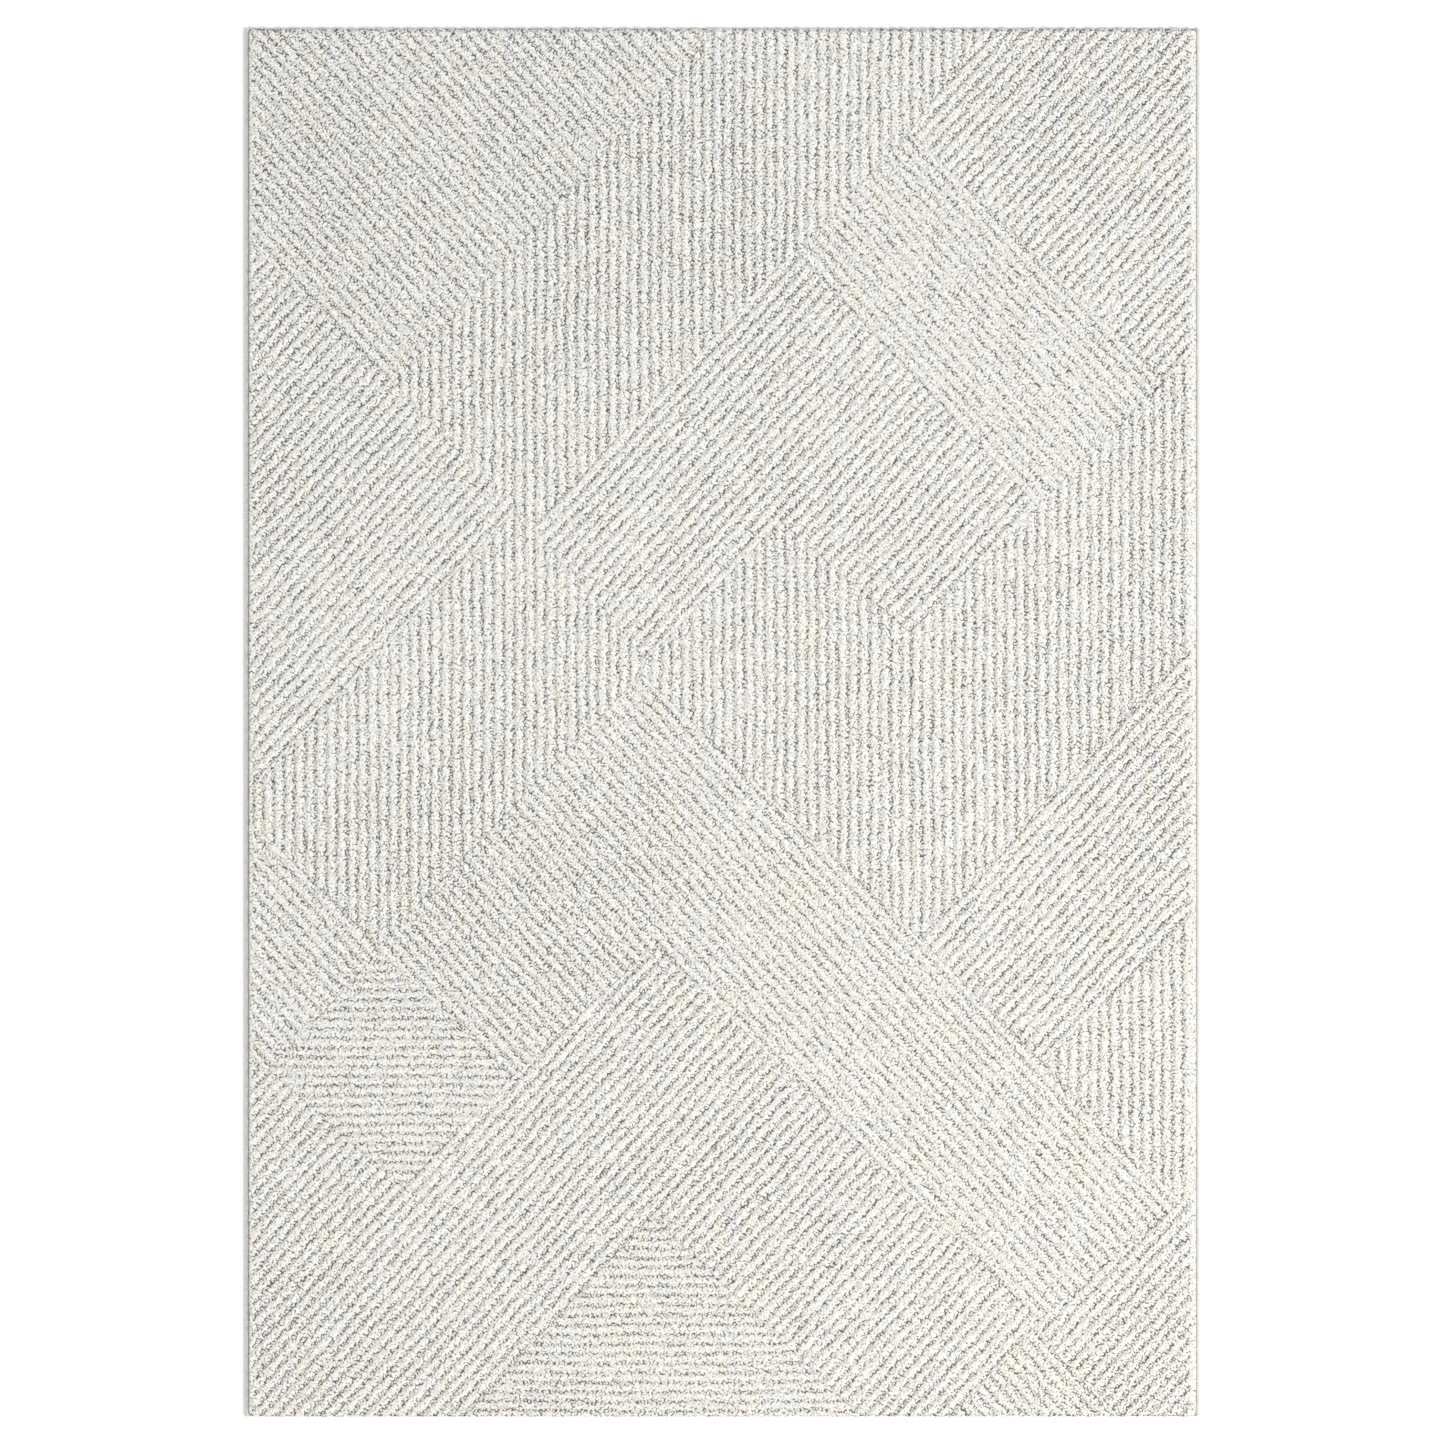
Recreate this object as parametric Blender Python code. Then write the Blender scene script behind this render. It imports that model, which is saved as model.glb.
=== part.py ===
"""Area rug, high and low pile, 160 x 232 cm, built as it is made: 22 fields of pile, each with its ribs
running one way, rooted in a ground weave with a latex back coat, serged over a cord down both long sides
and hemmed at both ends. Metres, +X across the rug, +Y along it, +Z up, resting on z = 0."""

import math

import bmesh
import bpy
from mathutils import Vector

# Overall size
WIDTH = 1.600
LENGTH = 2.325
HEIGHT = 0.0140  # floor to the tips of the high pile
CORNER_RADIUS = 0.009  # of the pile at the rug's four corners

# Pile: ivory ribs stand above grooves of low grey pile, and each field's ribs run one way
RIB_PITCH = 0.0175
LEVEL_RIB_PITCH = 0.0160
RIB_SLANT = 47.0  # degrees from +X of the rising ribs; the falling ones mirror it
RIB_WAYS = {
    "level": (0.0, LEVEL_RIB_PITCH),
    "rising": (RIB_SLANT, RIB_PITCH),
    "upright": (90.0, RIB_PITCH),
    "falling": (180.0 - RIB_SLANT, RIB_PITCH),
}
GROOVE_DEPTH = 0.0040
GROOVE_TOP_SHARE = 0.46  # of the rib pitch, between the tips of two ribs
GROOVE_FLOOR_SHARE = 0.30  # of the rib pitch, at the low pile
GROOVE_OVERRUN = 0.010  # how far a groove's cutter reaches past the field
CUTTER_RISE = 0.0010  # how far it stands above the tips
LEAST_GROOVE = 0.0015  # from a field's outermost corners to the nearest groove's middle

# Layers, from the floor up
COAT_THICK = 0.0012  # latex back coat
WEAVE_THICK = 0.0016  # ground weave that holds the tufts
LAYER_GAP = 0.0003  # clearance between pieces that are stuck or woven together

# End hems: the bare end of the weave, turned under to lie level with the coat, and stuck down
HEM_WIDTH = 0.030
HEM_LIP_THICK = 0.0012  # where it turns round the weave's cut edge

# Long sides: yarn serged over a cord
SERGING_DIAMETER = 0.0072
CORD_DIAMETER = 0.0042
SERGING_SEGMENTS = 20

# Care label, blank, sewn under the weave by the foot hem
LABEL_WIDTH = 0.055
LABEL_LENGTH = 0.085
LABEL_THICK = 0.0005
LABEL_FROM_SIDE = 0.060

# What follows from those sizes
HALF_W = WIDTH / 2
HALF_L = LENGTH / 2
SIDE_X = HALF_W - SERGING_DIAMETER - LAYER_GAP  # where the weave and the pile meet the serging
WEAVE_Z = COAT_THICK + LAYER_GAP
PILE_Z = WEAVE_Z + WEAVE_THICK + LAYER_GAP
CORNER_STEPS = 4


def inside(across, along):
    """A junction of fields, as shares of half the width and half the length from the middle."""
    return Vector((across * HALF_W, along * HALF_L))


def left(along):
    return Vector((-SIDE_X, along * HALF_L))


def right(along):
    return Vector((SIDE_X, along * HALF_L))


def head(across):
    return Vector((across * HALF_W, HALF_L))


def foot(across):
    return Vector((across * HALF_W, -HALF_L))


# The rug's corners
HEAD_LEFT = Vector((-SIDE_X, HALF_L))
HEAD_RIGHT = Vector((SIDE_X, HALF_L))
FOOT_LEFT = Vector((-SIDE_X, -HALF_L))
FOOT_RIGHT = Vector((SIDE_X, -HALF_L))

# Junctions along the edges, named by what they part, to a hundredth of half a side
HEAD_FALLING_UPRIGHT = head(-0.01)
HEAD_UPRIGHT_RISING = head(0.55)
LEFT_FALLING_RISING = left(0.69)
LEFT_RISING_UPRIGHT = left(-0.10)
LEFT_UPRIGHT_FALLING = left(-0.14)
LEFT_FALLING_BOTTOM = left(-0.49)
LEFT_BOTTOM_SPLIT = left(-0.91)
RIGHT_RISING_UPRIGHT = right(0.54)
RIGHT_UPRIGHT_RISING = right(0.12)
RIGHT_RISING_EDGE = right(-0.27)
RIGHT_EDGE_BOTTOM = right(-0.67)
FOOT_RISING_LEVEL = foot(-0.54)
FOOT_LEVEL_RISING = foot(0.29)
FOOT_RISING_FALLING = foot(0.48)
FOOT_FALLING_RISING = foot(0.83)

# Junctions inside the rug, roughly from head to foot
TOP_RIGHT = inside(0.39, 0.85)
PARALLELOGRAM_LEFT = inside(0.15, 0.68)
PARALLELOGRAM_RIGHT = inside(0.93, 0.49)
PARALLELOGRAM_FOOT = inside(0.66, 0.31)
TOP_LEFT = inside(-0.69, 0.49)
NECK_HIGH_LEFT = inside(-0.43, 0.31)
NECK_HIGH_RIGHT = inside(-0.40, 0.28)
CENTRE_NOTCH = inside(0.12, 0.29)
CENTRE_FOOT = inside(0.39, 0.13)
NECK_LOW_HIGH = inside(-0.16, 0.09)
CHEVRON_HEAD = inside(-0.17, 0.07)
CHEVRON_LEFT_HIGH = inside(-0.72, -0.32)
CHEVRON_LEFT_LOW = inside(-0.72, -0.33)
CHEVRON_NOTCH = inside(-0.14, -0.32)
CHEVRON_RIGHT_HIGH = inside(0.41, -0.31)
CHEVRON_RIGHT_MIDDLE = inside(0.67, -0.49)
CHEVRON_RIGHT_LOW = inside(0.96, -0.69)
CHEVRON_TOE = inside(0.66, -0.86)
FOOT_TRIANGLE = inside(0.66, -0.87)
DIAMOND_LEFT = inside(-0.95, -0.50)
DIAMOND_RIGHT = inside(-0.44, -0.51)
DIAMOND_FOOT = inside(-0.67, -0.67)
LEVEL_TRIANGLE = inside(-0.15, -0.71)
BOTTOM_SPLIT = CHEVRON_NOTCH.lerp(CHEVRON_TOE, 0.33)  # on the straight lower side of the chevron

# Each field of pile: its name, whose second word is the way of its ribs, then its outline, clockwise seen
# from above
FIELDS = (
    ("pile_falling_top_left",
     HEAD_LEFT, HEAD_FALLING_UPRIGHT, TOP_LEFT, LEFT_FALLING_RISING),
    ("pile_upright_top",
     HEAD_FALLING_UPRIGHT, HEAD_UPRIGHT_RISING, TOP_RIGHT, PARALLELOGRAM_LEFT, NECK_HIGH_RIGHT,
     NECK_HIGH_LEFT, TOP_LEFT),
    ("pile_rising_top_right",
     HEAD_UPRIGHT_RISING, HEAD_RIGHT, RIGHT_RISING_UPRIGHT, PARALLELOGRAM_RIGHT, TOP_RIGHT),
    ("pile_falling_upper_right",
     TOP_RIGHT, PARALLELOGRAM_RIGHT, PARALLELOGRAM_FOOT, PARALLELOGRAM_LEFT),
    ("pile_rising_left",
     LEFT_FALLING_RISING, TOP_LEFT, NECK_HIGH_LEFT, LEFT_RISING_UPRIGHT),
    ("pile_rising_centre_left",
     PARALLELOGRAM_LEFT, CENTRE_NOTCH, NECK_LOW_HIGH, NECK_HIGH_RIGHT),
    ("pile_rising_centre_right",
     PARALLELOGRAM_LEFT, PARALLELOGRAM_FOOT, CENTRE_FOOT, CENTRE_NOTCH),
    ("pile_upright_left",
     NECK_HIGH_LEFT, NECK_HIGH_RIGHT, NECK_LOW_HIGH, CHEVRON_HEAD, CHEVRON_LEFT_HIGH,
     LEFT_UPRIGHT_FALLING, LEFT_RISING_UPRIGHT),
    ("pile_upright_centre",
     CENTRE_NOTCH, CENTRE_FOOT, CHEVRON_RIGHT_HIGH, CHEVRON_HEAD, NECK_LOW_HIGH),
    ("pile_upright_right",
     CENTRE_FOOT, PARALLELOGRAM_FOOT, PARALLELOGRAM_RIGHT, RIGHT_RISING_UPRIGHT, RIGHT_UPRIGHT_RISING,
     CHEVRON_RIGHT_HIGH),
    ("pile_falling_left_edge",
     LEFT_UPRIGHT_FALLING, CHEVRON_LEFT_HIGH, CHEVRON_LEFT_LOW, DIAMOND_LEFT, LEFT_FALLING_BOTTOM),
    ("pile_falling_chevron_left",
     CHEVRON_HEAD, CHEVRON_NOTCH, DIAMOND_RIGHT, CHEVRON_LEFT_LOW, CHEVRON_LEFT_HIGH),
    ("pile_falling_chevron_right",
     CHEVRON_HEAD, CHEVRON_RIGHT_HIGH, CHEVRON_RIGHT_MIDDLE, CHEVRON_RIGHT_LOW, CHEVRON_TOE,
     CHEVRON_NOTCH),
    ("pile_rising_right",
     RIGHT_UPRIGHT_RISING, RIGHT_RISING_EDGE, CHEVRON_RIGHT_MIDDLE, CHEVRON_RIGHT_HIGH),
    ("pile_upright_right_edge",
     RIGHT_RISING_EDGE, RIGHT_EDGE_BOTTOM, CHEVRON_RIGHT_LOW, CHEVRON_RIGHT_MIDDLE),
    ("pile_level_diamond",
     CHEVRON_LEFT_LOW, DIAMOND_RIGHT, DIAMOND_FOOT, DIAMOND_LEFT),
    ("pile_rising_bottom_edge",
     LEFT_FALLING_BOTTOM, DIAMOND_LEFT, DIAMOND_FOOT, LEFT_BOTTOM_SPLIT),
    ("pile_rising_bottom_left",
     DIAMOND_FOOT, DIAMOND_RIGHT, CHEVRON_NOTCH, BOTTOM_SPLIT, LEVEL_TRIANGLE, FOOT_RISING_LEVEL,
     FOOT_LEFT, LEFT_BOTTOM_SPLIT),
    ("pile_rising_bottom_centre",
     BOTTOM_SPLIT, CHEVRON_TOE, FOOT_TRIANGLE, FOOT_RISING_FALLING, FOOT_LEVEL_RISING, LEVEL_TRIANGLE),
    ("pile_level_bottom",
     LEVEL_TRIANGLE, FOOT_LEVEL_RISING, FOOT_RISING_LEVEL),
    ("pile_falling_bottom",
     FOOT_TRIANGLE, FOOT_FALLING_RISING, FOOT_RISING_FALLING),
    ("pile_rising_bottom_right",
     CHEVRON_RIGHT_LOW, RIGHT_EDGE_BOTTOM, FOOT_RIGHT, FOOT_FALLING_RISING, FOOT_TRIANGLE, CHEVRON_TOE),
)

# Colour, roughness and metallic of each material
PILE_IVORY = ("pile_yarn", (0.74, 0.72, 0.67), 0.95, 0.0)
GROUND_JUTE = ("ground_yarn", (0.52, 0.42, 0.28), 0.95, 0.0)
LATEX = ("latex", (0.80, 0.76, 0.66), 0.70, 0.0)
SERGING_YARN = ("serging_yarn", (0.70, 0.68, 0.63), 0.90, 0.0)
CORD_YARN = ("cord_yarn", (0.62, 0.55, 0.42), 0.95, 0.0)
LABEL_CLOTH = ("label_cloth", (0.88, 0.88, 0.86), 0.60, 0.0)


def material_of(name, look):
    """The piece's own Principled material."""
    kind, colour, roughness, metallic = look
    material = bpy.data.materials.new(f"{kind}_{name}")
    material.use_nodes = True
    shader = material.node_tree.nodes["Principled BSDF"]
    shader.inputs["Base Color"].default_value = (*colour, 1.0)
    shader.inputs["Roughness"].default_value = roughness
    shader.inputs["Metallic"].default_value = metallic
    material.diffuse_color = (*colour, 1.0)
    return material


def object_from(mesh_builder, name, look):
    """A scene object from a bmesh, with its normals facing out."""
    bmesh.ops.recalc_face_normals(mesh_builder, faces=mesh_builder.faces)
    mesh = bpy.data.meshes.new(name)
    mesh_builder.to_mesh(mesh)
    mesh_builder.free()
    made = bpy.data.objects.new(name, mesh)
    bpy.context.scene.collection.objects.link(made)
    mesh.materials.append(material_of(name, look))
    return made


def line_crossing(point_a, along_a, point_b, along_b):
    """Where two lines cross, or the second point where they run the same way."""
    spread = along_a.x * along_b.y - along_a.y * along_b.x
    if abs(spread) < 1e-3:
        return point_b
    between = point_b - point_a
    return point_a + along_a * ((between.x * along_b.y - between.y * along_b.x) / spread)


def drawn_in(outline, by):
    """The outline of a clockwise shape with every side moved inwards."""
    count = len(outline)
    sides = []
    for index in range(count):
        start, end = outline[index], outline[(index + 1) % count]
        along = (end - start).normalized()
        sides.append((start + Vector((along.y, -along.x)) * by, along))
    return [line_crossing(*sides[index - 1], *sides[index]) for index in range(count)]


def rounded(outline, radius):
    """The outline with an arc in place of each point that is a corner of the whole rug."""
    made = []
    for index, point in enumerate(outline):
        if abs(point.x) < SIDE_X - 2 * LAYER_GAP or abs(point.y) < HALF_L - 2 * LAYER_GAP:
            made.append(point)
            continue
        back = (outline[index - 1] - point).normalized()
        onward = (outline[(index + 1) % len(outline)] - point).normalized()
        centre = point + (back + onward) * radius
        for step in range(CORNER_STEPS + 1):
            turn = math.pi / 2 * step / CORNER_STEPS
            made.append(centre - onward * radius * math.cos(turn) - back * radius * math.sin(turn))
    return made


def slab(name, outline, bottom, top, look):
    """A flat piece with the given outline between two heights."""
    builder = bmesh.new()
    base = builder.faces.new([builder.verts.new((point.x, point.y, bottom)) for point in outline])
    grown = bmesh.ops.extrude_face_region(builder, geom=[base])
    raised = [item for item in grown["geom"] if isinstance(item, bmesh.types.BMVert)]
    bmesh.ops.translate(builder, verts=raised, vec=(0.0, 0.0, top - bottom))
    return object_from(builder, name, look)


def swept(name, section, direction, length, look):
    """A closed section of (sideways, up) points swept straight along X or Y, centred on the middle."""
    builder = bmesh.new()
    if direction == "X":
        start = [(-length / 2, sideways, up) for sideways, up in section]
        travel = (length, 0.0, 0.0)
    else:
        start = [(sideways, -length / 2, up) for sideways, up in section]
        travel = (0.0, length, 0.0)
    face = builder.faces.new([builder.verts.new(point) for point in start])
    grown = bmesh.ops.extrude_face_region(builder, geom=[face])
    far = [item for item in grown["geom"] if isinstance(item, bmesh.types.BMVert)]
    bmesh.ops.translate(builder, verts=far, vec=travel)
    return object_from(builder, name, look)


def ring(builder, diameter, centre_x, centre_z, y):
    points = []
    for step in range(SERGING_SEGMENTS):
        turn = 2 * math.pi * step / SERGING_SEGMENTS
        x = centre_x + diameter / 2 * math.cos(turn)
        z = centre_z + diameter / 2 * math.sin(turn)
        points.append(builder.verts.new((x, y, z)))
    return points


def bridge(builder, first, second):
    for index in range(len(first)):
        after = (index + 1) % len(first)
        builder.faces.new((first[index], first[after], second[after], second[index]))


def side_tube(name, outer, inner, side, look):
    """The serging yarn as a sleeve round the cord, open at both ends."""
    centre_x = side * (HALF_W - SERGING_DIAMETER / 2)
    centre_z = SERGING_DIAMETER / 2
    builder = bmesh.new()
    near_outer = ring(builder, outer, centre_x, centre_z, -HALF_L)
    near_inner = ring(builder, inner, centre_x, centre_z, -HALF_L)
    far_outer = ring(builder, outer, centre_x, centre_z, HALF_L)
    far_inner = ring(builder, inner, centre_x, centre_z, HALF_L)
    bridge(builder, near_outer, far_outer)
    bridge(builder, near_inner, far_inner)
    bridge(builder, near_outer, near_inner)
    bridge(builder, far_outer, far_inner)
    return object_from(builder, name, look)


def side_cord(name, diameter, side, look):
    """The cord inside the serging."""
    builder = bmesh.new()
    centre_x = side * (HALF_W - SERGING_DIAMETER / 2)
    near = ring(builder, diameter, centre_x, SERGING_DIAMETER / 2, -HALF_L)
    far = ring(builder, diameter, centre_x, SERGING_DIAMETER / 2, HALF_L)
    bridge(builder, near, far)
    builder.faces.new(near)
    builder.faces.new(far)
    return object_from(builder, name, look)


def end_hem(name, end):
    """The turned-under end of the weave: a strip beneath it and a lip that covers its cut edge."""
    edge = end * HALF_L
    lip = end * (HALF_L - HEM_LIP_THICK)
    back = end * (HALF_L - HEM_WIDTH)
    lip_top = WEAVE_Z + WEAVE_THICK
    section = ((back, 0.0), (edge, 0.0), (edge, lip_top), (lip, lip_top), (lip, COAT_THICK),
               (back, COAT_THICK))
    return swept(name, section, "X", 2 * SIDE_X, GROUND_JUTE)


def clear_scene():
    for old in list(bpy.data.objects):
        bpy.data.objects.remove(old, do_unlink=True)


def groove(builder, offset, middle, reach, rib_way, across, pitch):
    """One groove's cutter: a bar of trapezium section, `offset` from the rug's origin along `across`."""
    centre = across * offset + rib_way * middle
    floor_half = pitch * GROOVE_FLOOR_SHARE / 2
    top_half = pitch * GROOVE_TOP_SHARE / 2
    flare = (top_half - floor_half) / GROOVE_DEPTH
    over_half = top_half + flare * CUTTER_RISE
    section = ((-floor_half, HEIGHT - GROOVE_DEPTH), (floor_half, HEIGHT - GROOVE_DEPTH),
               (over_half, HEIGHT + CUTTER_RISE), (-over_half, HEIGHT + CUTTER_RISE))
    ends = []
    for way in (-reach, reach):
        corners = [centre + rib_way * way + across * sideways for sideways, _ in section]
        heights = [up for _, up in section]
        ends.append([builder.verts.new((*corner, up)) for corner, up in zip(corners, heights)])
    bridge(builder, ends[0], ends[1])
    builder.faces.new(ends[0])
    builder.faces.new(ends[1])


def groove_cutter(name, outline, direction, pitch):
    """All the grooves of one field, as one hidden object. They are spaced from the rug's middle, so that
    ribs of one way and pitch run on from field to field."""
    rib_way = Vector((math.cos(math.radians(direction)), math.sin(math.radians(direction))))
    across = Vector((-rib_way.y, rib_way.x))
    offsets = [point.dot(across) for point in outline]
    ways = [point.dot(rib_way) for point in outline]
    middle = (max(ways) + min(ways)) / 2
    reach = (max(ways) - min(ways)) / 2 + GROOVE_OVERRUN
    builder = bmesh.new()
    lowest = math.floor(min(offsets) / pitch)
    highest = math.ceil(max(offsets) / pitch)
    for step in range(lowest, highest + 1):
        offset = step * pitch
        if min(offsets) + LEAST_GROOVE < offset < max(offsets) - LEAST_GROOVE:
            groove(builder, offset, middle, reach, rib_way, across, pitch)
    cutter = object_from(builder, name, PILE_IVORY)
    cutter.hide_render = True
    cutter.display_type = "WIRE"
    return cutter


def make_pile():
    for name, *outline in FIELDS:
        direction, pitch = RIB_WAYS[name.split("_")[1]]
        drawn = rounded(drawn_in(outline, LAYER_GAP / 2), CORNER_RADIUS)
        field = slab(name, drawn, PILE_Z, HEIGHT, PILE_IVORY)
        carve = field.modifiers.new("grooves", "BOOLEAN")
        carve.operation = "DIFFERENCE"
        carve.solver = "EXACT"
        carve.object = groove_cutter(f"grooves_{name}", drawn, direction, pitch)


def make_backing():
    weave_end = HALF_L - HEM_LIP_THICK - LAYER_GAP
    weave = [Vector((x, y)) for x, y in ((-SIDE_X, weave_end), (SIDE_X, weave_end), (SIDE_X, -weave_end),
                                         (-SIDE_X, -weave_end))]
    slab("ground_weave", weave, WEAVE_Z, WEAVE_Z + WEAVE_THICK, GROUND_JUTE)

    # The coat stops at the hems and leaves a bare patch for the label beside the foot hem
    coat_end = HALF_L - HEM_WIDTH - LAYER_GAP
    patch_left = SIDE_X - LABEL_FROM_SIDE - LABEL_WIDTH - LAYER_GAP
    patch_right = SIDE_X - LABEL_FROM_SIDE + LAYER_GAP
    patch_top = -coat_end + LABEL_LENGTH + LAYER_GAP
    coat = [Vector(point) for point in ((-SIDE_X, coat_end), (SIDE_X, coat_end), (SIDE_X, -coat_end),
                                        (patch_right, -coat_end), (patch_right, patch_top),
                                        (patch_left, patch_top), (patch_left, -coat_end),
                                        (-SIDE_X, -coat_end))]
    slab("latex_coat", coat, 0.0, COAT_THICK, LATEX)

    label_left = patch_left + LAYER_GAP
    label_right = patch_right - LAYER_GAP
    label_top = patch_top - LAYER_GAP
    label = [Vector(point) for point in ((label_left, label_top), (label_right, label_top),
                                         (label_right, -coat_end), (label_left, -coat_end))]
    slab("care_label", label, COAT_THICK - LABEL_THICK, COAT_THICK, LABEL_CLOTH)

    end_hem("hem_head", 1)
    end_hem("hem_foot", -1)


def make_sides():
    sleeve_inner = CORD_DIAMETER + 2 * LAYER_GAP
    for name, side in (("left", -1), ("right", 1)):
        side_cord(f"cord_{name}", CORD_DIAMETER, side, CORD_YARN)
        side_tube(f"serging_{name}", SERGING_DIAMETER, sleeve_inner, side, SERGING_YARN)


clear_scene()
make_pile()
make_backing()
make_sides()
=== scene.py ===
"""The looks of an area rug with a high and low pile, 160 x 232 cm, lying flat on a pale studio floor.

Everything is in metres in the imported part's frame: +X across the rug, +Y along it, +Z up, floor at z = 0.
Each field of pile is a closed height mesh fine enough to hold its tufts: ivory ribs stand above grooves of
low, grey-flecked pile. Yarn is wrapped round a plied cord down both sides, the ends are hemmed, and a latex
coat with a blank label is underneath.
"""

import math

import bpy
import numpy as np
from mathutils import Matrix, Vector


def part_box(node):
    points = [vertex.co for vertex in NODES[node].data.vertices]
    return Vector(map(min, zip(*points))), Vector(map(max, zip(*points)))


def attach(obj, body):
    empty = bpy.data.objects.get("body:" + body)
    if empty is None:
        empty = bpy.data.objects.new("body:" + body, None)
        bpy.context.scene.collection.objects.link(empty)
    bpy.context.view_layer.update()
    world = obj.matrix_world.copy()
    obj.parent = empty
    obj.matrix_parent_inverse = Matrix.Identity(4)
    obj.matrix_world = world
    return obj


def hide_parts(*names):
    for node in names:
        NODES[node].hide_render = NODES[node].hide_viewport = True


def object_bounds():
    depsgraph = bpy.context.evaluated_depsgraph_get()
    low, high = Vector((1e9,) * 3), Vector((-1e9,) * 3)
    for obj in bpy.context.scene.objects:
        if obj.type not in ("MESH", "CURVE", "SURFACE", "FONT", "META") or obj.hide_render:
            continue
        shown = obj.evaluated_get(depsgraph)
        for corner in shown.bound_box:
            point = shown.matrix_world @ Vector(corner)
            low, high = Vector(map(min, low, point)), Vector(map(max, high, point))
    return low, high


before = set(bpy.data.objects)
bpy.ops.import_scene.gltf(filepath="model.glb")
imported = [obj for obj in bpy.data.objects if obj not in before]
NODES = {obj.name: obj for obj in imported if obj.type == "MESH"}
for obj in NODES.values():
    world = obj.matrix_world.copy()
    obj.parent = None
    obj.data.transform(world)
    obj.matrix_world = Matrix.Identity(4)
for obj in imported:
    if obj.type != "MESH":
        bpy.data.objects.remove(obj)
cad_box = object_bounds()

BODY = "root"

# ---------------------------------------------------------------- sizes, as in the part

WIDTH = cad_box[1][0] - cad_box[0][0]
LENGTH = cad_box[1][1] - cad_box[0][1]
HALF_W, HALF_L = WIDTH / 2, LENGTH / 2
WEAVE_LOW, WEAVE_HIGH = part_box("ground_weave")
COAT_LOW, COAT_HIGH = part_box("latex_coat")
SIDE_X = WEAVE_HIGH.x  # where the weave and the pile meet the serging
PILE_LOW, PILE_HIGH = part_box("pile_upright_top")

# The ribs, as the CAD model has them: each kind of field, the way its ribs run in degrees from +X, and
# their pitch, counted from the rug's middle
RIB_PITCH = 0.0175
LEVEL_RIB_PITCH = 0.0160
RIB_SLANT = 47.0  # degrees from +X of the rising ribs; the falling ones mirror it
RIB_WAYS = {
    "level": (0.0, LEVEL_RIB_PITCH),
    "rising": (RIB_SLANT, RIB_PITCH),
    "upright": (90.0, RIB_PITCH),
    "falling": (180.0 - RIB_SLANT, RIB_PITCH),
}

# Each field of pile; the second word of its name is the way of its ribs
FIELDS = (
    "pile_falling_top_left",
    "pile_upright_top",
    "pile_rising_top_right",
    "pile_falling_upper_right",
    "pile_rising_left",
    "pile_rising_centre_left",
    "pile_rising_centre_right",
    "pile_upright_left",
    "pile_upright_centre",
    "pile_upright_right",
    "pile_falling_left_edge",
    "pile_falling_chevron_left",
    "pile_falling_chevron_right",
    "pile_rising_right",
    "pile_upright_right_edge",
    "pile_level_diamond",
    "pile_rising_bottom_edge",
    "pile_rising_bottom_left",
    "pile_rising_bottom_centre",
    "pile_level_bottom",
    "pile_falling_bottom",
    "pile_rising_bottom_right",
)

# ---------------------------------------------------------------- how the pile is shaped

GRID = 0.00209  # spacing of the pile mesh, about half a tuft
GROOVE_DEPTH = 0.0034
GROOVE_FLOOR = 0.22  # of half a pitch, where the low pile starts to rise
GROOVE_TOP = 0.50  # of half a pitch, where the rib's shoulder ends
CROWN_RISE = 0.0008  # of a rib's middle over its shoulders
MERGE = 0.0006  # how far neighbouring yarns soften the step from rib to groove, and from field to field
TIP_JITTER = 0.00030  # unevenness of single yarn ends
TUFT_JITTER = 0.00030  # unevenness of whole tufts
SIDE_JITTER = 0.00050  # how far a yarn end leans
NEAR_WOBBLE = 0.0007  # how far a groove wanders from tuft to tuft
FAR_WOBBLE = 0.0007  # and over a hand's breadth
SELVEDGE_RIGHT = 0.0105  # bands of high pile down the sides, with no grooves
SELVEDGE_LEFT = 0.0050
SELVEDGE_SOFT = 0.0025
ROUNDING = 0.0060  # how far in the pile falls away at the rug's outline
ROUND_DROP = 0.0022
FRAY = 0.0075  # band of cut, curling yarn at both ends
FRAY_DEPTH = 0.0020
FRAY_FULL = 0.35  # of the band, where the fray starts to ease off
FRAY_JITTER = 0.0016
TIP_ROOM = 0.0006  # between the ribs' middle height and the CAD's top, for uneven yarn ends
UNEVEN_DEPTH = 0.10  # spread of the grooves' depth
UNEVEN_WIDTH = 0.14  # spread of the grooves' width
UNEVEN_REACH = 0.7  # of half a pitch, beyond which a rib keeps its shape
DYE_SPREAD = 0.20  # of the grey in the low pile, from tuft to tuft
BATCH_SPREAD = 0.10  # of the grey, over a hand's breadth
FRAY_FLECK = 0.4  # grey that the fray adds
BAND_FLECK = 0.15  # grey that the selvedge lacks
WARM_SPREAD = 0.9  # of the yarn's warmth, from tuft to tuft
PAINTED_WARM_LIGHT_RIGHT = 0.35  # painted light: how much warmer the yarn is tinted towards the right, where the warm key lamp falls
PAINTED_WARM_LIGHT_FOOT = 0.65  # and towards the foot
WALL_RIB = 0.3  # of a rim point's share of rib, on the side below it, so that the lower sides take the low pile's colour and its painted shade
BASE_CORNER, BASE_SIDE = 0.001, 0.002  # of the surface map, the corner that shows a field's base
FIELD_REACH = 0.00012  # how far the pile of two fields leans together over the gap between their bases

# Noise over the whole rug: its seed, and how coarse it is across and along the rug
NOISES = {
    "tip": (1, 0.0001, 0.0008),
    "tuft": (2, 0.0020, 0.0030),
    "speck": (3, 0.0001, 0.0008),
    "dye": (4, 0.0045, 0.0070),
    "batch": (5, 0.1000, 0.1500),
    "warm": (6, 0.0060, 0.0110),
    "near": (7, 0.0045, 0.0045),
    "far": (8, 0.0300, 0.0300),
    "lean_x": (9, 0.0006, 0.0006),
    "lean_y": (10, 0.0006, 0.0006),
}


def smooth_step(value, low, high):
    share = np.clip((value - low) / (high - low), 0.0, 1.0)
    return share * share * (3 - 2 * share)


# ---------------------------------------------------------------- even noise over the whole rug

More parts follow.
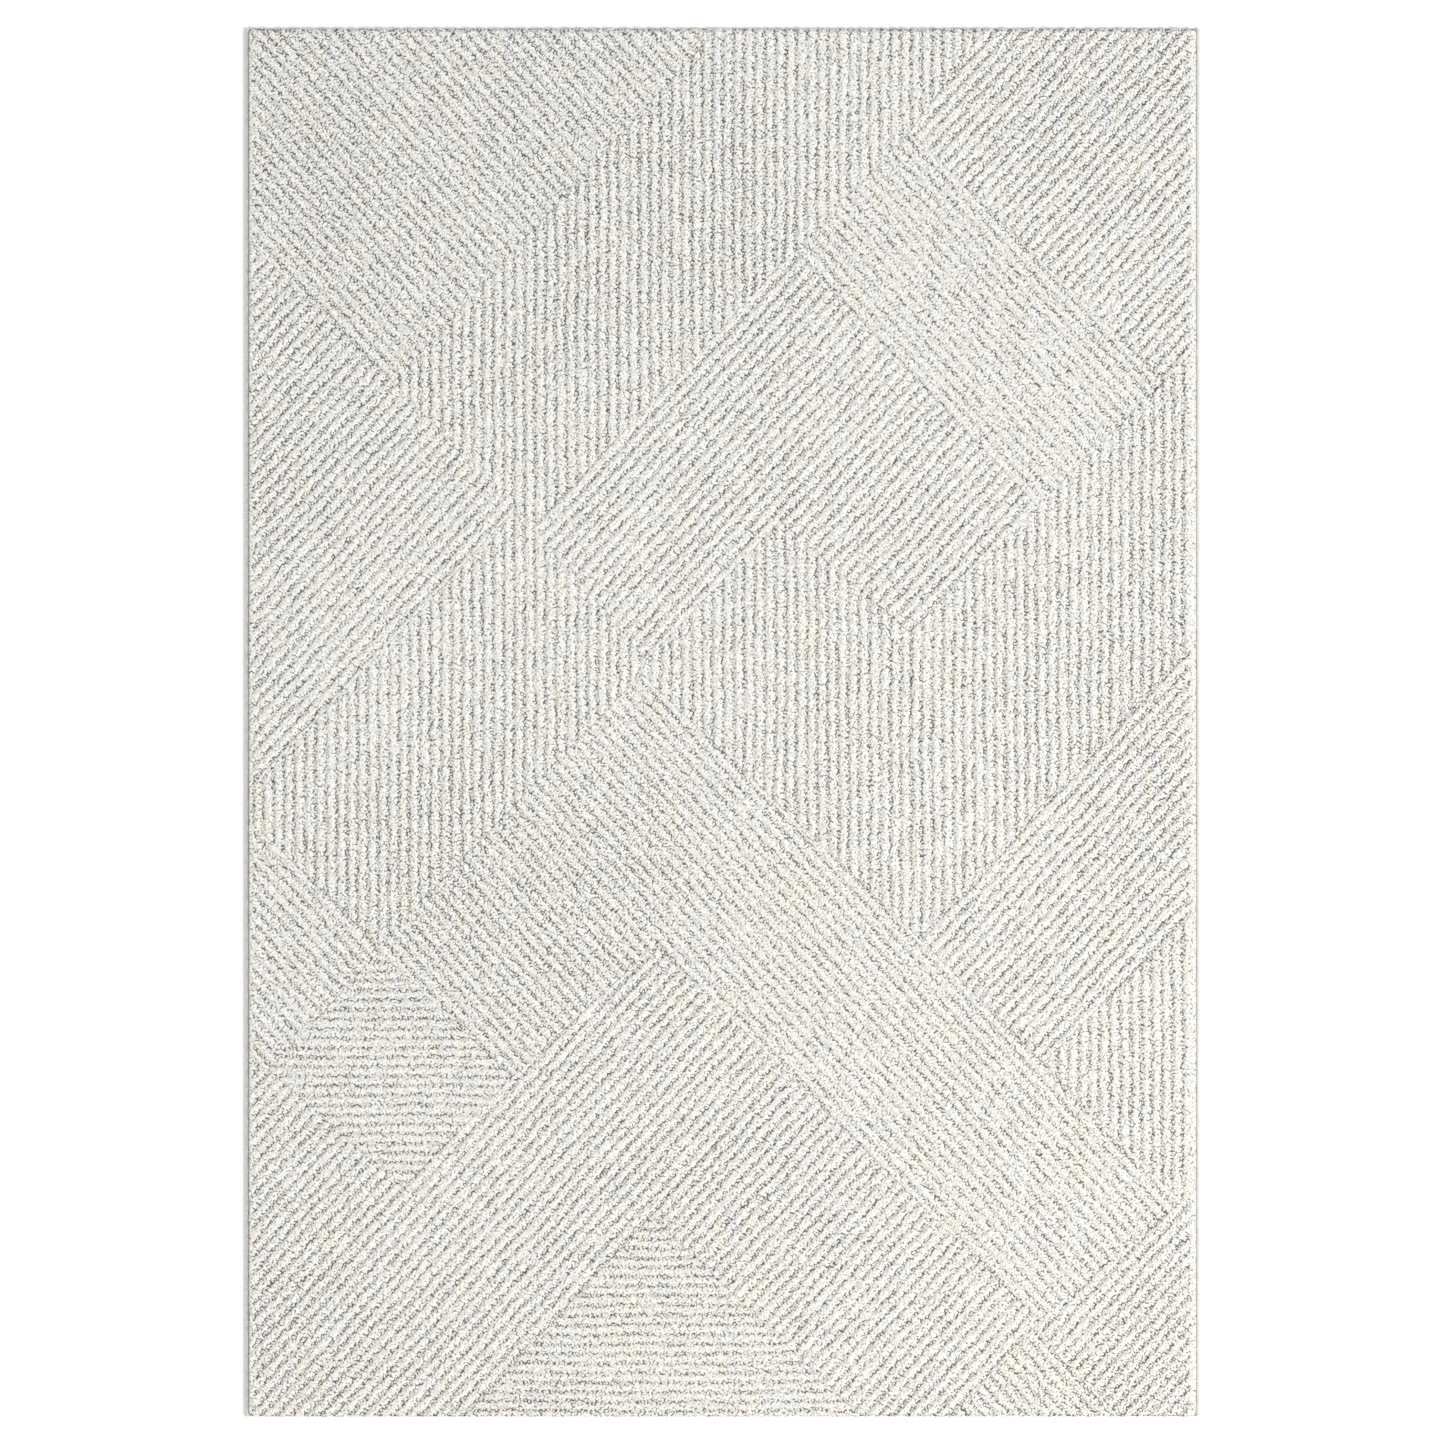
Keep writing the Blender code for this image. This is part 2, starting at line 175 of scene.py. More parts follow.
COLUMNS = 2 * math.ceil(HALF_W / GRID) + 5
ROWS = 2 * math.ceil(HALF_L / GRID) + 5
GRID_X, GRID_Y = np.meshgrid((np.arange(COLUMNS) - COLUMNS // 2) * GRID, (np.arange(ROWS) - ROWS // 2) * GRID)


def blurred(values, across, along):
    """Values on the pile's grid, softened over these distances in metres."""
    row_waves = np.fft.fftfreq(ROWS, GRID)[:, None]
    column_waves = np.fft.rfftfreq(COLUMNS, GRID)[None, :]
    kept = np.exp(-2 * math.pi ** 2 * ((column_waves * across) ** 2 + (row_waves * along) ** 2))
    return np.fft.irfft2(np.fft.rfft2(values) * kept, (ROWS, COLUMNS))


def yarn_noise(name):
    """One of the seeded noises on the pile's grid, with a spread of 1."""
    seed, across, along = NOISES[name]
    even = blurred(np.random.default_rng(seed).standard_normal((ROWS, COLUMNS)), across, along)
    return even / even.std()


# ---------------------------------------------------------------- fields of pile

def turn(first, second, third):
    """Above 0 where the way from first over second to third turns left."""
    return ((second[0] - first[0]) * (third[1] - first[1])
            - (second[1] - first[1]) * (third[0] - first[0]))


def outline_of(node):
    """The corners of the convex shape round a field's base, anticlockwise seen from above."""
    count = len(NODES[node].data.vertices)
    points = np.empty(count * 3, np.float32)
    NODES[node].data.vertices.foreach_get("co", points)
    points = points.reshape(-1, 3).astype(float)
    base = points[points[:, 2] < PILE_LOW.z + 1e-4][:, :2]
    base = sorted({(round(x, 6), round(y, 6)) for x, y in base})
    hull = []
    for run in (base, base[::-1]):
        side = []
        for point in run:
            while len(side) > 1 and turn(side[-2], side[-1], point) <= 1e-10:
                side.pop()
            side.append(point)
        hull += side[:-1]
    return np.array(hull)


def beyond_outline(x, y, outline):
    """How far outside an outline each point is, below 0 inside it."""
    furthest = np.full(x.shape, -np.inf)
    for (ax, ay), (bx, by) in zip(outline, np.roll(outline, -1, axis=0)):
        side = math.hypot(bx - ax, by - ay)
        furthest = np.maximum(furthest, ((by - ay) * (x - ax) - (bx - ax) * (y - ay)) / side)
    return furthest


def onto_outline(x, y, outline, reach):
    """The points nearest to these on an outline that is moved out by reach."""
    best_x, best_y, best = x.copy(), y.copy(), np.full(x.shape, np.inf)
    for (ax, ay), (bx, by) in zip(outline, np.roll(outline, -1, axis=0)):
        dx, dy = bx - ax, by - ay
        side = math.hypot(dx, dy)
        share = np.clip(((x - ax) * dx + (y - ay) * dy) / side ** 2, 0, 1)
        near_x = ax + share * dx + reach * dy / side
        near_y = ay + share * dy - reach * dx / side
        away = (near_x - x) ** 2 + (near_y - y) ** 2
        nearer = away < best
        best_x, best_y = np.where(nearer, near_x, best_x), np.where(nearer, near_y, best_y)
        best = np.where(nearer, away, best)
    return best_x, best_y


OUTLINES = {field: outline_of(field) for field in FIELDS}


def rib_shares(tuft):
    """How far each point of the grid is from the middle of a groove, 0, to that of a rib, 1."""
    share, nearest = np.zeros((ROWS, COLUMNS)), np.full((ROWS, COLUMNS), np.inf)
    wobble = NEAR_WOBBLE * yarn_noise("near") + FAR_WOBBLE * yarn_noise("far")
    for field in FIELDS:
        direction, pitch = RIB_WAYS[field.split("_")[1]]
        beyond = beyond_outline(GRID_X, GRID_Y, OUTLINES[field])
        own = beyond < nearest
        turned = math.radians(direction)
        across = (-math.sin(turned) * GRID_X[own] + math.cos(turned) * GRID_Y[own]
                  + wobble[own])
        place = across / pitch
        share[own] = 2 * np.abs(place - np.round(place))
        nearest[own] = beyond[own]
    return np.clip(share / (1 + UNEVEN_WIDTH * tuft * (share < UNEVEN_REACH)), 0, 1)


def pile_maps():
    """The pile's height over the whole rug, how its yarn is dyed, and where light and shade are painted on
    it.
    """
    tip, tuft, speck = yarn_noise("tip"), yarn_noise("tuft"), yarn_noise("speck")
    dye, batch, warm = yarn_noise("dye"), yarn_noise("batch"), yarn_noise("warm")
    share = rib_shares(tuft)
    rib = smooth_step(share, GROOVE_FLOOR, GROOVE_TOP)
    bands = [1 - smooth_step(to_side, width - SELVEDGE_SOFT, width + SELVEDGE_SOFT)
             for to_side, width in ((SIDE_X - GRID_X, SELVEDGE_RIGHT), (SIDE_X + GRID_X, SELVEDGE_LEFT))]
    band = np.maximum(*bands)
    rib = blurred(np.maximum(rib, band), MERGE, MERGE)
    depth = GROOVE_DEPTH * (1 + UNEVEN_DEPTH * dye)
    height = PILE_HIGH.z - TIP_ROOM - depth * (1 - rib) - CROWN_RISE * (1 - share) * rib
    height += TIP_JITTER * tip + TUFT_JITTER * tuft

    # The pile falls away at the rug's outline, and is frayed at both ends
    to_side, to_end = SIDE_X - np.abs(GRID_X), HALF_L - np.abs(GRID_Y)
    height -= ROUND_DROP * (1 - smooth_step(np.minimum(to_side, to_end), 0.0, ROUNDING))
    fray = 1 - smooth_step(to_end, FRAY_FULL * FRAY, FRAY)
    height -= fray * (FRAY_DEPTH + FRAY_JITTER * np.abs(speck))

    # Low pile holds most of the grey yarn, and the selvedge almost none
    fleck = (1 - rib) * (1 + DYE_SPREAD * dye) + BATCH_SPREAD * batch + FRAY_FLECK * fray - BAND_FLECK * band
    # Painted light: the warm key lamp's tint, warmer towards the right and the foot, is added to the yarn's
    # own warmth from tuft to tuft
    warm = WARM_SPREAD * warm + (PAINTED_WARM_LIGHT_RIGHT * GRID_X - PAINTED_WARM_LIGHT_FOOT * GRID_Y) / HALF_L
    return {"height": height, "rib": rib, "fleck": fleck, "warm": warm, "tip": tip}


PILE = pile_maps()


def read_map(name, x, y):
    """A map's values at any points, between those of its grid."""
    across, up = x / GRID + COLUMNS // 2, y / GRID + ROWS // 2
    column = np.clip(np.floor(across).astype(int), 0, COLUMNS - 2)
    row = np.clip(np.floor(up).astype(int), 0, ROWS - 2)
    over, above = across - column, up - row
    values = PILE[name]
    lower = values[row, column] * (1 - over) + values[row, column + 1] * over
    upper = values[row + 1, column] * (1 - over) + values[row + 1, column + 1] * over
    return lower * (1 - above) + upper * above


LEAN_X, LEAN_Y = yarn_noise("lean_x"), yarn_noise("lean_y")


# ---------------------------------------------------------------- meshes

def closed_mesh(name, points, quads, triangles, masks, quad_uv, triangle_uv, smooth):
    """A mesh object from arrays, whose first faces are smooth, with a named value per point for its material
    to read and a flat layout for the surface map."""
    corners = np.concatenate([quads.ravel(), triangles.ravel()]).astype(np.int32)
    sizes = np.concatenate([np.full(len(quads), 4), np.full(len(triangles), 3)])
    starts = np.concatenate([[0], np.cumsum(sizes)[:-1]]).astype(np.int32)
    mesh = bpy.data.meshes.new(name)
    mesh.vertices.add(len(points))
    mesh.vertices.foreach_set("co", points.astype(np.float32).ravel())
    mesh.loops.add(len(corners))
    mesh.loops.foreach_set("vertex_index", corners)
    mesh.polygons.add(len(sizes))
    mesh.polygons.foreach_set("loop_start", starts)
    mesh.polygons.foreach_set("use_smooth", np.arange(len(sizes)) < smooth)
    mesh.update(calc_edges=True)
    for mask, values in masks.items():
        layer = mesh.attributes.new(mask, "FLOAT", "POINT")
        layer.data.foreach_set("value", np.asarray(values, np.float32).ravel())
    if quad_uv is not None:
        layout = mesh.uv_layers.new(name="OFBake", do_init=False)
        flat = np.concatenate([np.reshape(quad_uv, (-1, 2)), np.reshape(triangle_uv, (-1, 2))])
        layout.data.foreach_set("uv", flat.astype(np.float32).ravel())
    piece = bpy.data.objects.new(name, mesh)
    bpy.context.scene.collection.objects.link(piece)
    return piece


MAP_MARGIN = 0.012  # of the surface map, left free round a field
WALL_STRIP = 0.004  # of the surface map, for the strip that shows a field's sides


def pile_field(field):
    """One field of pile as a closed mesh on the rug's grid, trimmed to the field's outline."""
    outline = OUTLINES[field]
    low, high = outline.min(0), outline.max(0)
    column = np.arange(math.floor(low[0] / GRID) - 1, math.ceil(high[0] / GRID) + 2)
    row = np.arange(math.floor(low[1] / GRID) - 1, math.ceil(high[1] / GRID) + 2)
    rows, columns = len(row), len(column)
    x, y = (a.copy() for a in np.meshgrid(column * GRID, row * GRID))
    cells = beyond_outline(x[:-1, :-1] + GRID / 2, y[:-1, :-1] + GRID / 2, outline) < 0

    # Points of the cells that are kept, and those on their rim
    uses = np.zeros((rows, columns), int)
    for up, over in ((0, 0), (0, 1), (1, 0), (1, 1)):
        uses[up:rows - 1 + up, over:columns - 1 + over] += cells
    used, rim = uses > 0, (uses > 0) & (uses < 4)
    x[rim], y[rim] = onto_outline(x[rim], y[rim], outline, FIELD_REACH)
    height = read_map("height", x, y)
    masks = {name: read_map(name, x, y) for name in PILE if name != "height"}
    inner = used & ~rim
    pick = np.ix_(row + ROWS // 2, column + COLUMNS // 2)
    x[inner] += SIDE_JITTER * LEAN_X[pick][inner]
    y[inner] += SIDE_JITTER * LEAN_Y[pick][inner]

    index = np.full((rows, columns), -1)
    index[used] = np.arange(used.sum())
    a, b = index[:-1, :-1][cells], index[:-1, 1:][cells]
    c, d = index[1:, 1:][cells], index[1:, :-1][cells]
    quads = np.stack([a, b, c, d], 1)
    points = np.stack([x[used], y[used], height[used]], 1)
    masks = {name: values[used] for name, values in masks.items()}

    # Edges that only one cell has are the rim: a wall goes down from each to the base
    beside = np.pad(cells, 1)
    open_below, open_above = ~beside[:-2, 1:-1] & cells, ~beside[2:, 1:-1] & cells
    open_left, open_right = ~beside[1:-1, :-2] & cells, ~beside[1:-1, 2:] & cells
    corner = {"a": index[:-1, :-1], "b": index[:-1, 1:], "c": index[1:, 1:], "d": index[1:, :-1]}
    tails = np.concatenate([corner["a"][open_below], corner["b"][open_right],
                            corner["c"][open_above], corner["d"][open_left]])
    heads = np.concatenate([corner["b"][open_below], corner["c"][open_right],
                            corner["d"][open_above], corner["a"][open_left]])
    on_rim, place = np.unique(np.concatenate([tails, heads]), return_inverse=True)
    place = place.reshape(-1) + len(points)
    below_tails, below_heads = place[:len(tails)], place[len(tails):]
    base = points[on_rim].copy()
    base[:, 2] = PILE_LOW.z
    middle = np.array([[*outline.mean(0), PILE_LOW.z]])
    centre = len(points) + len(base)
    walls = np.stack([tails, below_tails, below_heads, heads], 1)
    floor = np.stack([below_heads, below_tails, np.full(len(tails), centre)], 1)
    masks = {name: np.concatenate([values, values[on_rim], [0.5]]) for name, values in masks.items()}
    masks["rib"][len(points):] *= WALL_RIB

    # The surface map is the plan of the field: its sides are a thin strip round it, its base one corner
    flat = (points[:, :2] - low) / (high - low) * (1 - 2 * MAP_MARGIN) + MAP_MARGIN
    out = flat[on_rim] - 0.5
    below = flat[on_rim] + WALL_STRIP * out / np.linalg.norm(out, axis=1, keepdims=True)
    flat = np.concatenate([flat, below])
    corner_uv = BASE_CORNER + BASE_SIDE * np.array([(0, 0), (1, 0), (0, 1)])
    piece = closed_mesh(
        field.replace("pile_", "tufts_"),
        np.concatenate([points, base, middle]),
        np.concatenate([quads, walls]), floor, masks,
        flat[np.concatenate([quads, walls])],
        np.broadcast_to(corner_uv, (len(floor), 3, 2)), len(quads))
    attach(piece, BODY)
    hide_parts(field)
    return piece


# ---------------------------------------------------------------- sides, ends and underside

def stands_for(piece, slot, *nodes):
    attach(piece, BODY)
    if nodes:
        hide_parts(*nodes)
    return piece


def slab(name, upper, lower, kept=None, masks=None):
    """A closed sheet between two grids of points of the same shape, with its cells left out where kept is
    False. The upper grid's rows and columns turn anticlockwise seen from outside."""
    rows, columns = upper.shape[:2]
    kept = np.ones((rows - 1, columns - 1), bool) if kept is None else kept
    index = np.arange(rows * columns).reshape(rows, columns)
    a, b, c, d = index[:-1, :-1], index[:-1, 1:], index[1:, 1:], index[1:, :-1]
    under = rows * columns
    top = np.stack([a[kept], b[kept], c[kept], d[kept]], 1)
    beside = np.pad(kept, 1)
    walls = []
    for open_side, tail, head in ((~beside[:-2, 1:-1] & kept, a, b), (~beside[1:-1, 2:] & kept, b, c),
                                  (~beside[2:, 1:-1] & kept, c, d), (~beside[1:-1, :-2] & kept, d, a)):
        tails, heads = tail[open_side], head[open_side]
        walls.append(np.stack([tails, tails + under, heads + under, heads], 1))
    points = np.concatenate([upper.reshape(-1, 3), lower.reshape(-1, 3)])
    quads = np.concatenate([top, top[:, ::-1] + under, *walls])
    needed, quads = np.unique(quads, return_inverse=True)
    quads = quads.reshape(-1, 4)
    values = {mask: np.concatenate([np.ravel(given), np.ravel(given)])[needed]
              for mask, given in (masks or {}).items()}
    return closed_mesh(name, points[needed], quads, np.empty((0, 3), int), values, None, None, 2 * len(top))


STRIPS = 16  # a long thin piece's surface map is cut into this many strips, side by side
STRIP_GAP = 0.04  # between two strips, of a strip's width
STRIP_END = 0.005  # of the surface map, left free at a strip's ends


def sleeve(name, rings, masks):
    """A mesh from rings of points, each joined to the next and the last to the first."""
    count, around = rings.shape[:2]
    index = np.arange(count * around).reshape(count, around)
    after, beside = np.roll(index, -1, axis=0), np.roll(index, -1, axis=1)
    quads = np.stack([index, beside, np.roll(after, -1, axis=1), after], -1).reshape(-1, 4)

    # Each strip holds a stretch of the length, with the way round across it
    per_strip = math.ceil(count / STRIPS)
    ring, turn_share = np.divmod(np.arange(count * around), around)
    corner_ring = np.stack([ring, ring, ring + 1, ring + 1], 1)
    corner_turn = np.stack([turn_share, turn_share + 1, turn_share + 1, turn_share], 1) / around
    strip = (ring // per_strip)[:, None]
    across = (strip + STRIP_GAP / 2 + corner_turn * (1 - STRIP_GAP)) / STRIPS
    along = (corner_ring - strip * per_strip) / per_strip
    layout = np.stack([across, STRIP_END + (1 - 2 * STRIP_END) * along], -1)
    return closed_mesh(name, rings.reshape(-1, 3), quads, np.empty((0, 3), int),
                       {mask: np.ravel(given) for mask, given in masks.items()}, layout,
                       np.empty((0, 3, 2)), len(quads))


STITCH = 0.0042  # from one wrap of serging yarn to the next
RINGS_PER_STITCH = 5
AROUND = 18
WRAP_DEPTH = 0.00075  # of the valley between two wraps
WRAP_JITTER = 0.00028
BORE_GAP = 0.0003  # between the cord and the yarn round it
END_WIDTH = 0.55  # of the yarn's thickness, at the very ends
END_TAPER = 0.003
SERGING_SEED = 20


def serging(side, node):
    """Yarn wrapped tightly round the cord: one long coil, each turn a rounded strand."""
    low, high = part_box(node)
    cord_low, cord_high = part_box(f"cord_{side}")
    centre_x, centre_z = (low.x + high.x) / 2, (low.z + high.z) / 2
    outer = (high.x - low.x) / 2
    bore = (cord_high.x - cord_low.x) / 2 + BORE_GAP
    stitches = round((high.y - low.y) / STITCH)
    y = np.linspace(low.y, high.y, stitches * RINGS_PER_STITCH + 1)
    angle = np.arange(AROUND) / AROUND * 2 * math.pi
    rng = np.random.default_rng(SERGING_SEED + len(node))
    slack, tone = rng.random(stitches + 3), rng.standard_normal(stitches + 3)
    coil = (y[:, None] - low.y) / STITCH + angle[None, :] / (2 * math.pi)
    strand = np.floor(coil).astype(int)
    crest = np.sqrt(np.clip(1 - (2 * (coil - strand) - 1) ** 2, 0, 1))
    radius = outer - WRAP_DEPTH * (1 - crest) - WRAP_JITTER * slack[strand]
    to_end = np.minimum(y - low.y, high.y - y)
    ends = np.minimum(1, END_WIDTH + (1 - END_WIDTH) * to_end / END_TAPER)
    radius = bore + (radius - bore) * ends[:, None]
    wall = np.full((2, AROUND), bore)
    radius = np.concatenate([radius, wall])
    along = np.concatenate([y, [high.y, low.y]])
    rings = np.stack([centre_x + radius * np.cos(angle), np.broadcast_to(along[:, None], radius.shape),
                      centre_z - radius * np.sin(angle)], -1)
    masks = {"crest": np.concatenate([crest, wall * 0]), "tone": np.concatenate([tone[strand], wall * 0])}
    return stands_for(sleeve(f"serged_yarn_{side}", rings, masks), "serging_yarn", node)


PLIES = 3
PLY_LAY = 0.011  # one turn of the cord's plies
PLY_DEPTH = 0.22  # of the cord's radius, between two plies
CORD_RINGS = 1201
CORD_INSET = 0.0002  # of its ends from the CAD's
CORD_TIP = 0.02  # of its radius, where an end closes


def cord(side, node):
    """Three plies twisted together, seen only at the rug's corners. Its ends taper to their middle."""
    low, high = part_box(node)
    centre_x, centre_z = (low.x + high.x) / 2, (low.z + high.z) / 2
    y = np.linspace(low.y + CORD_INSET, high.y - CORD_INSET, CORD_RINGS)
    angle = np.arange(AROUND) / AROUND * 2 * math.pi
    lay = angle[None, :] - 2 * math.pi * y[:, None] / PLY_LAY
    crest = np.abs(np.cos(PLIES / 2 * lay))
    radius = (high.x - low.x) / 2 * (1 - PLY_DEPTH * (1 - crest))
    radius[[0, -1]] *= CORD_TIP
    rings = np.stack([centre_x + radius * np.cos(angle), np.broadcast_to(y[:, None], radius.shape),
                      centre_z - radius * np.sin(angle)], -1)
    masks = {"crest": crest, "tone": crest * 0}
    return stands_for(sleeve(f"plied_cord_{side}", rings, masks), "cord_yarn", node)


HEM_STEP = 0.0016  # spacing of a hem's mesh
HEM_THREAD = 0.0032  # spacing of its threads
HEM_RELIEF = 0.00014
HEM_BEND = 0.0011  # radius of the fold's outside
HEM_BEND_STEPS = 4


def hem(end, node):
    """The weave turned under at one end: a strip flat on the floor that turns up round the weave's cut
    edge. Its threads cross over and under each other."""
    low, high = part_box(node)
    thick = COAT_HIGH.z
    outward = 1 if end == "head" else -1
    edge, back = (high.y, low.y) if end == "head" else (low.y, high.y)
    flat_run = np.arange(abs(edge - back) - HEM_BEND, 0, -HEM_STEP)
    turns = np.linspace(0, math.pi / 2, HEM_BEND_STEPS + 1)[1:]
    path = [(edge - outward * (HEM_BEND + run), 0.0, 0.0) for run in flat_run]
    path += [(edge - outward * HEM_BEND, 0.0, 0.0)]
    path += [(edge - outward * HEM_BEND * (1 - math.sin(t)), HEM_BEND * (1 - math.cos(t)), t)
             for t in turns]
    path += [(edge, up, math.pi / 2) for up in np.linspace(HEM_BEND, high.z, 3)[1:]]
    x = np.linspace(low.x, high.x, round((high.x - low.x) / HEM_STEP) + 1)
    place = np.cumsum([0] + [math.dist(p[:2], q[:2]) for p, q in zip(path, path[1:])])
    relief = (np.cos(math.pi * x[None, :] / HEM_THREAD) * np.cos(math.pi * place[:, None] / HEM_THREAD))
    outer, inner = np.zeros((2, len(path), len(x), 3))
    for row, (y, z, tilt) in enumerate(path):
        inward_y, inward_z = -outward * math.sin(tilt), math.cos(tilt)
        sink = HEM_RELIEF * (1 - relief[row])
        outer[row] = np.stack([x, y + inward_y * sink, z + inward_z * sink], -1)
        inner_y, inner_z = y + inward_y * thick, z + inward_z * thick
        inner[row] = np.stack([x, np.full_like(x, inner_y), np.full_like(x, inner_z)], -1)
    inner[..., 2] = np.minimum(inner[..., 2], high.z)
    if end == "head":
        outer, inner, relief = outer[::-1], inner[::-1], relief[::-1]
    piece = slab(f"hem_band_{end}", outer, inner, masks={"over": relief})
    return stands_for(piece, "ground_yarn", node)


WEAVE_STEP = 0.015
THREAD_SPACING = 0.0036  # of the ground weave's threads
WEAVE_RELIEF = 0.0001
WEAVE_SEED = 31


def ground_weave():
    """The cloth that the tufts are rooted in, between the pile and the coat."""
    x = np.linspace(WEAVE_LOW.x, WEAVE_HIGH.x, round((WEAVE_HIGH.x - WEAVE_LOW.x) / WEAVE_STEP) + 1)
    y = np.linspace(WEAVE_LOW.y, WEAVE_HIGH.y, round((WEAVE_HIGH.y - WEAVE_LOW.y) / WEAVE_STEP) + 1)
    x, y = np.meshgrid(x, y)
    sag = WEAVE_RELIEF * np.random.default_rng(WEAVE_SEED).random(x.shape)
    piece = slab("woven_ground", np.stack([x, y, WEAVE_HIGH.z - sag], -1),
                 np.stack([x, y, WEAVE_LOW.z + sag], -1))
    return stands_for(piece, "ground_yarn", "ground_weave")


COAT_STEP = 0.010
COAT_RELIEF = 0.00028  # of the coat's shallow dimples
COAT_SEED = 32
LABEL_GAP = 0.0003  # between the coat and the label


def latex_coat():
    """The coat spread over the weave's underside, with a bare patch for the label."""
    label_low, label_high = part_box("care_label")
    stops = {0: (label_low.x - LABEL_GAP, label_high.x + LABEL_GAP), 1: (label_high.y + LABEL_GAP,)}
    lines = []
    for axis in (0, 1):
        steps = round((COAT_HIGH[axis] - COAT_LOW[axis]) / COAT_STEP)
        even = np.linspace(COAT_LOW[axis], COAT_HIGH[axis], steps + 1)
        even = even[[all(abs(v - stop) > COAT_STEP / 3 for stop in stops[axis]) for v in even]]
        lines.append(np.sort(np.concatenate([even, stops[axis]])))
    x, y = np.meshgrid(*lines)
    rng = np.random.default_rng(COAT_SEED)
    dimples = COAT_RELIEF * rng.random(x.shape) ** 2
    middle_x = (x[:-1, :-1] + x[1:, 1:]) / 2
    middle_y = (y[:-1, :-1] + y[1:, 1:]) / 2
    patch = ((middle_x > label_low.x - LABEL_GAP) & (middle_x < label_high.x + LABEL_GAP)
             & (middle_y < label_high.y + LABEL_GAP))
    piece = slab("latex_back", np.stack([x, y, np.full_like(x, COAT_HIGH.z)], -1),
                 np.stack([x, y, COAT_LOW.z + dimples], -1), ~patch)
    area = float(((x[1:, 1:] - x[:-1, :-1]) * (y[1:, 1:] - y[:-1, :-1]))[~patch].sum())
    return stands_for(piece, "latex", "latex_coat"), area


LABEL_STEP = 0.0025
LABEL_SEAM = 0.0030  # from the label's edge to its stitches
SEAM_STITCH, SEAM_GAP = 0.0028, 0.0014
THREAD = 0.00022  # radius of the sewing thread
THREAD_SIDES = 6
STITCH_RISE = 0.0002  # of a stitch's ends over the label's lower face
STITCH_ARCH = 0.9  # of the thread's radius, how far a stitch bows out
STITCH_SHAPE = ((0.0, 0.35), (0.12, 0.85), (0.5, 1.0), (0.88, 0.85), (1.0, 0.35))  # place along it, width
LABEL_SAG = 0.00008  # of the cloth over the CAD's lower face
SEAM_PINCH = 0.00016  # how far the seam draws the cloth in
SEAM_REACH = 0.0012
PUCKER = 0.00012
PUCKER_WAVES = (900, 800)  # radians to the metre, across and along
PUCKER_REACH = 0.008  # from the label's edge


def care_label():
    """A blank cloth label, puckered a little by the seam round it."""
    low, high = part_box("care_label")
    x = np.linspace(low.x, high.x, round((high.x - low.x) / LABEL_STEP) + 1)
    y = np.linspace(low.y, high.y, round((high.y - low.y) / LABEL_STEP) + 1)
    x, y = np.meshgrid(x, y)
    to_edge = np.minimum(np.minimum(x - low.x, high.x - x), np.minimum(y - low.y, high.y - y))
    seam = np.exp(-((to_edge - LABEL_SEAM) / SEAM_REACH) ** 2)
    waves = np.sin(x * PUCKER_WAVES[0]) * np.sin(y * PUCKER_WAVES[1])
    pucker = PUCKER * waves * np.exp(-to_edge / PUCKER_REACH)
    under = low.z + SEAM_PINCH * seam + LABEL_SAG + pucker.clip(0)
    piece = slab("blank_label", np.stack([x, y, np.full_like(x, high.z)], -1), np.stack([x, y, under], -1))
    return stands_for(piece, "label_cloth", "care_label")


def label_seam():
    """The stitches that hold the label, each a short, round-ended bar of thread."""
    low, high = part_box("care_label")
    left, right = low.x + LABEL_SEAM, high.x - LABEL_SEAM
    foot, head = low.y + LABEL_SEAM, high.y - LABEL_SEAM
    corners = ((left, foot), (right, foot), (right, head), (left, head))
    turns = np.arange(THREAD_SIDES) / THREAD_SIDES * 2 * math.pi
    lengths = len(STITCH_SHAPE) - 1
    every = SEAM_STITCH + SEAM_GAP
    points, quads, triangles = [], [], []
    for (ax, ay), (bx, by) in zip(corners, corners[1:] + corners[:1]):
        run = math.dist((ax, ay), (bx, by))
        way = np.array([(bx - ax) / run, (by - ay) / run, 0.0])
        over = np.array([-way[1], way[0], 0.0])
        up = np.array([0.0, 0.0, 1.0])
        for step in range(int(run / every)):
            start = np.array([ax, ay, low.z + STITCH_RISE]) + way * (step * every + SEAM_GAP)
            first = len(points)
            for share, width in STITCH_SHAPE:
                bow = THREAD * STITCH_ARCH * math.sin(math.pi * share)
                centre = start + way * share * SEAM_STITCH - up * bow
                points += [centre + THREAD * width * (math.cos(t) * over + math.sin(t) * up) for t in turns]
            for ring in range(lengths):
                near, far = first + ring * THREAD_SIDES, first + (ring + 1) * THREAD_SIDES
                for turn_index in range(THREAD_SIDES):
                    after = (turn_index + 1) % THREAD_SIDES
                    quads.append((near + turn_index, near + after, far + after, far + turn_index))
            last = first + lengths * THREAD_SIDES
            triangles += [(first, first + i + 1, first + i) for i in range(1, THREAD_SIDES - 1)]
            triangles += [(last, last + i, last + i + 1) for i in range(1, THREAD_SIDES - 1)]
    piece = closed_mesh("label_stitches", np.array(points), np.array(quads), np.array(triangles), {}, None,
                        None, len(quads))
    return stands_for(piece, "label_cloth")


# ---------------------------------------------------------------- materials

SPECULAR = 0.2  # of every material here: none is glossy
SHEEN_ROUGHNESS = 0.6
CELL_RANDOMNESS = 0.8  # of the tuft tips' places


def wave_scale(thread):
    """The scale at which a wave texture repeats every two threads of this spacing."""
    return math.pi / thread / 20


